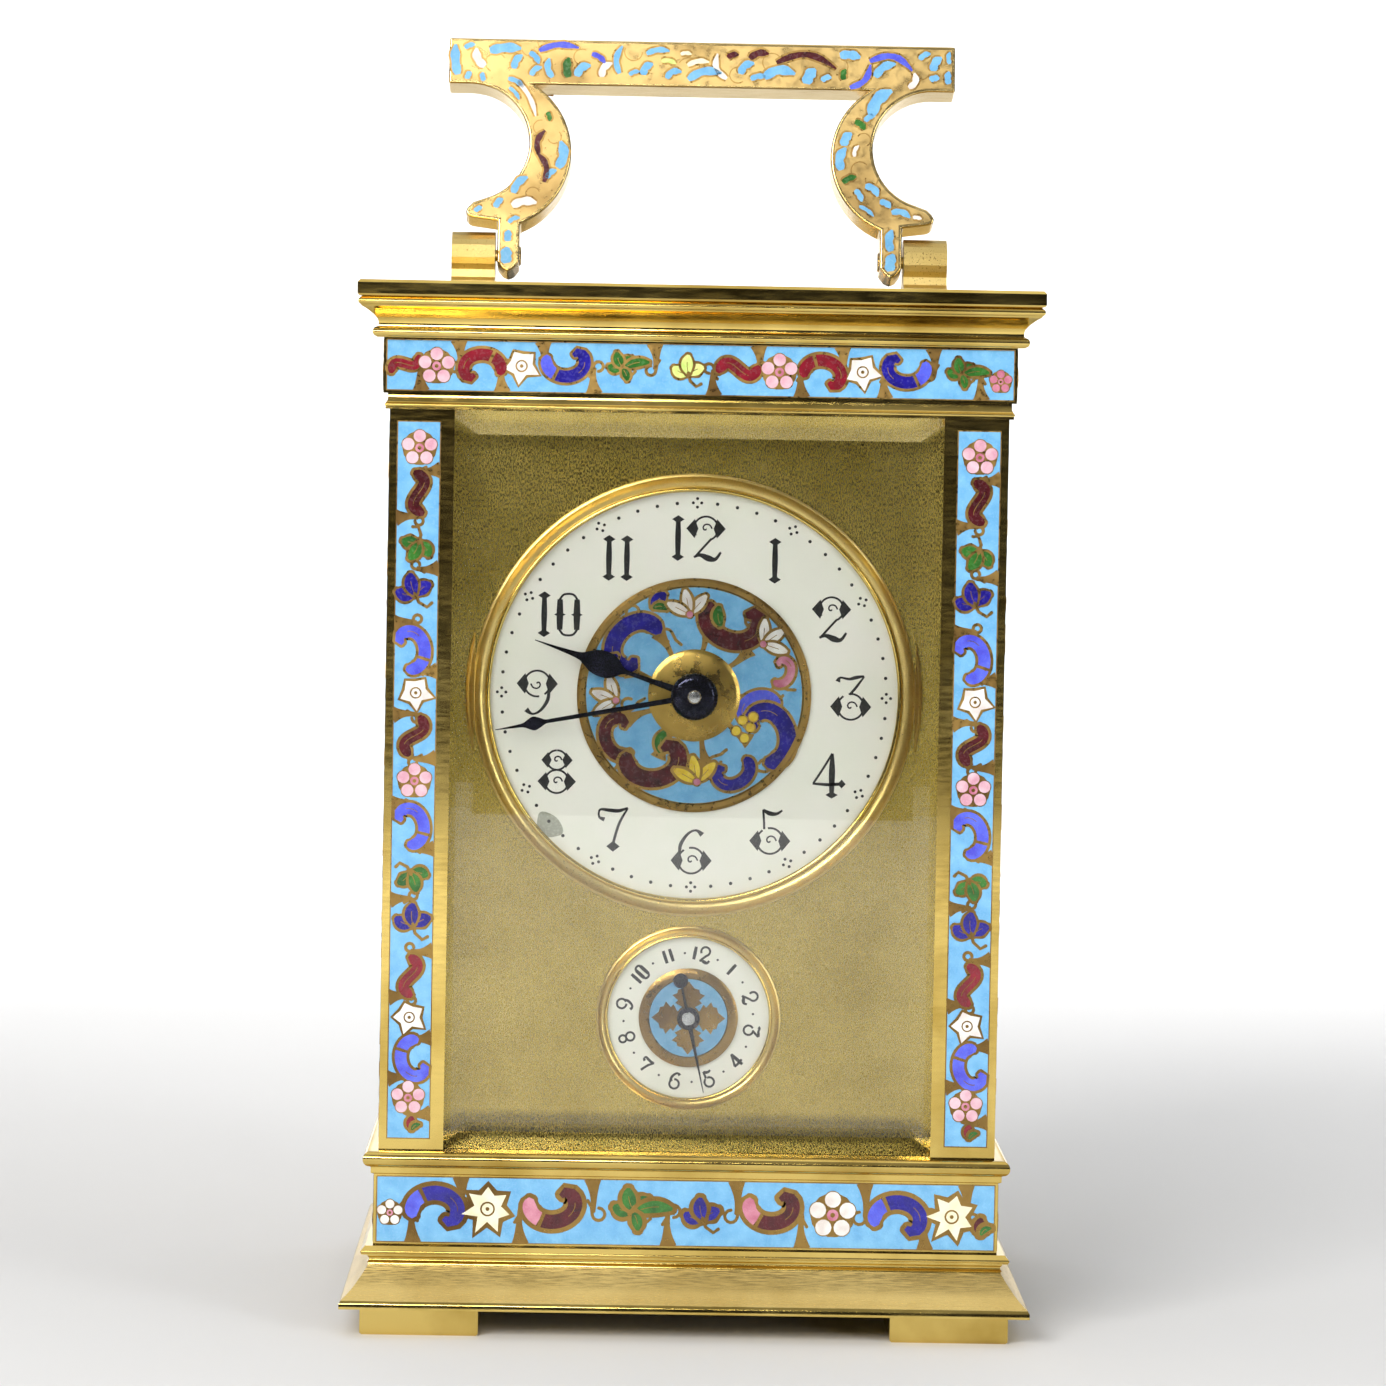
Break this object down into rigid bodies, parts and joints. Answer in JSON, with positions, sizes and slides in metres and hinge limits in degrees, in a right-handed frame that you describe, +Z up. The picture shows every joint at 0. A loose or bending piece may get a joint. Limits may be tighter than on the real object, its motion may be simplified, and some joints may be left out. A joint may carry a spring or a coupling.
{
  "type": "carriage clock",
  "caption": "Glazed brass carriage clock with enamelled case, folding handle, rear door, main and alarm dials and a train movement.",
  "frame": {"origin": "on the table, under the middle of the case", "axes": "+Z up, +Y towards the rear door, so the dial faces -Y and +X is to the right seen from the front"},
  "size_m": [0.096, 0.084, 0.1831],
  "materials": {
    "case_brass": "polished, with enamel panels",
    "handle_brass": "satin, with worn enamel",
    "case_glass": "clear, bevelled",
    "mask_brass": "matt gilt",
    "dial_porcelain": "glossy white enamel",
    "centre_enamel": "enamel in gilt brass",
    "bezel_gilt": "gilt",
    "blued_steel": "dark blued",
    "plate_brass": "gilt",
    "wheel_brass": "polished",
    "arbor_steel": "polished",
    "gong_steel": "blued"
  },
  "bodies": {
    "case": {"base_frame": "case_brass", "foot_front_left": "case_brass", "foot_front_right": "case_brass", "foot_back_left": "case_brass", "foot_back_right": "case_brass", "pillar_front_left": "case_brass", "pillar_front_right": "case_brass", "pillar_back_left": "case_brass", "pillar_back_right": "case_brass", "top_frame": "case_brass", "cornice": "case_brass", "top_glass": "case_glass", "front_glass": "case_glass", "side_glass_left": "case_glass", "side_glass_right": "case_glass", "handle_lug_left": "case_brass", "handle_lug_right": "case_brass", "handle_screw_left": "case_brass", "handle_screw_right": "case_brass", "mask_plate": "mask_brass", "main_dial": "dial_porcelain", "main_bezel": "bezel_gilt", "dial_centre": "centre_enamel", "alarm_dial": "dial_porcelain", "alarm_bezel": "bezel_gilt", "alarm_centre": "centre_enamel", "front_plate": "plate_brass", "back_plate": "plate_brass", "plate_pillar_lower_left": "plate_brass", "plate_pillar_lower_right": "plate_brass", "plate_pillar_upper_left": "plate_brass", "plate_pillar_upper_right": "plate_brass", "platform": "plate_brass", "balance_cock": "plate_brass", "gong": "gong_steel"},
    "carrying_handle": {"handle": "handle_brass"},
    "rear_door": {"door_frame": "case_brass", "door_glass": "case_glass", "door_knob": "case_brass"},
    "centre": {"centre_wheel": "wheel_brass", "minute_hand": "blued_steel"},
    "hour": {"hour_wheel": "wheel_brass", "hour_hand": "blued_steel"},
    "motion": {"minute_wheel": "wheel_brass"},
    "intermediate": {"intermediate_wheel": "wheel_brass"},
    "barrel": {"going_barrel": "wheel_brass"},
    "third": {"third_wheel": "wheel_brass"},
    "contrate": {"contrate_wheel": "wheel_brass"},
    "escape": {"escape_wheel": "wheel_brass"},
    "alarm_idler": {"alarm_idler_wheel": "wheel_brass"},
    "alarm_twelve_hour": {"alarm_wheel": "wheel_brass"},
    "alarm_setting": {"alarm_setting_arbor": "arbor_steel", "alarm_hand": "blued_steel"},
    "going_winding": {"going_winding_arbor": "arbor_steel"},
    "alarm_power": {"alarm_barrel": "wheel_brass"},
    "alarm_winding": {"alarm_winding_arbor": "arbor_steel"},
    "hammer": {"alarm_hammer": "arbor_steel"},
    "lever": {"pallet_lever": "arbor_steel"},
    "balance": {"balance_wheel": "wheel_brass"},
    "index": {"regulator_index": "arbor_steel"}
  },
  "joints": [
    {"name": "handle_fold", "type": "hinge", "parent": "case", "child": "carrying_handle", "pos_m": [0, 0, 0.1513], "axis": [1, 0, 0], "range_deg": [-78, 102]},
    {"name": "door_swing", "type": "hinge", "parent": "case", "child": "rear_door", "pos_m": [-0.0326, 0.035, 0.077], "axis": [0, 0, 1], "range_deg": [0, 95]},
    {"name": "centre_turn", "type": "hinge", "parent": "case", "child": "centre", "pos_m": [0, 0, 0.0893], "axis": [0, 1, 0], "continuous": true},
    {"name": "hour_turn", "type": "hinge", "parent": "case", "child": "hour", "pos_m": [0, 0, 0.0893], "axis": [0, 1, 0], "continuous": true},
    {"name": "motion_turn", "type": "hinge", "parent": "case", "child": "motion", "pos_m": [0.01088, 0, 0.09437], "axis": [0, 1, 0], "continuous": true},
    {"name": "intermediate_turn", "type": "hinge", "parent": "case", "child": "intermediate", "pos_m": [-0.00476, 0, 0.07622], "axis": [0, 1, 0], "continuous": true},
    {"name": "barrel_turn", "type": "hinge", "parent": "case", "child": "barrel", "pos_m": [-0.01483, 0, 0.06072], "axis": [0, 1, 0], "continuous": true},
    {"name": "third_turn", "type": "hinge", "parent": "case", "child": "third", "pos_m": [0.00828, 0, 0.09917], "axis": [0, 1, 0], "continuous": true},
    {"name": "contrate_turn", "type": "hinge", "parent": "case", "child": "contrate", "pos_m": [-0.00441, 0, 0.1014], "axis": [0, 1, 0], "continuous": true},
    {"name": "escape_turn", "type": "hinge", "parent": "case", "child": "escape", "pos_m": [-0.00441, 0.00077, 0.115], "axis": [0, 0, 1], "continuous": true},
    {"name": "alarm_idler_turn", "type": "hinge", "parent": "case", "child": "alarm_idler", "pos_m": [0, 0, 0.0665], "axis": [0, 1, 0], "continuous": true},
    {"name": "alarm_wheel_turn", "type": "hinge", "parent": "case", "child": "alarm_twelve_hour", "pos_m": [0, 0, 0.0437], "axis": [0, 1, 0], "continuous": true},
    {"name": "alarm_set_turn", "type": "hinge", "parent": "case", "child": "alarm_setting", "pos_m": [0, 0, 0.0437], "axis": [0, 1, 0], "continuous": true},
    {"name": "going_wind_turn", "type": "hinge", "parent": "case", "child": "going_winding", "pos_m": [-0.01483, 0, 0.06072], "axis": [0, 1, 0], "continuous": true},
    {"name": "alarm_barrel_turn", "type": "hinge", "parent": "case", "child": "alarm_power", "pos_m": [0.0155, 0, 0.06], "axis": [0, 1, 0], "continuous": true},
    {"name": "alarm_wind_turn", "type": "hinge", "parent": "case", "child": "alarm_winding", "pos_m": [0.0155, 0, 0.06], "axis": [0, 1, 0], "continuous": true},
    {"name": "hammer_swing", "type": "hinge", "parent": "case", "child": "hammer", "pos_m": [0.0085, 0, 0.0892], "axis": [0, 1, 0], "range_deg": [-10, 0]},
    {"name": "lever_rock", "type": "hinge", "parent": "case", "child": "lever", "pos_m": [0.00159, -0.00323, 0.119], "axis": [0, 0, 1], "range_deg": [-6, 6]},
    {"name": "balance_swing", "type": "hinge", "parent": "case", "child": "balance", "pos_m": [0.00759, -0.0065, 0.12], "axis": [0, 0, 1], "range_deg": [-135, 135]},
    {"name": "index_turn", "type": "hinge", "parent": "case", "child": "index", "pos_m": [0.00759, -0.0065, 0.1237], "axis": [0, 0, 1], "range_deg": [-25, 25]}
  ],
  "couplings": [
    {"joint": "hour_turn", "follows": "centre_turn", "ratio": 0.083333},
    {"joint": "motion_turn", "follows": "centre_turn", "ratio": -0.33333},
    {"joint": "intermediate_turn", "follows": "centre_turn", "ratio": -0.2},
    {"joint": "barrel_turn", "follows": "centre_turn", "ratio": 0.033333},
    {"joint": "third_turn", "follows": "centre_turn", "ratio": -6},
    {"joint": "contrate_turn", "follows": "centre_turn", "ratio": 36},
    {"joint": "escape_turn", "follows": "centre_turn", "ratio": 216},
    {"joint": "alarm_idler_turn", "follows": "centre_turn", "ratio": -0.060606},
    {"joint": "alarm_wheel_turn", "follows": "centre_turn", "ratio": 0.083333}
  ]
}
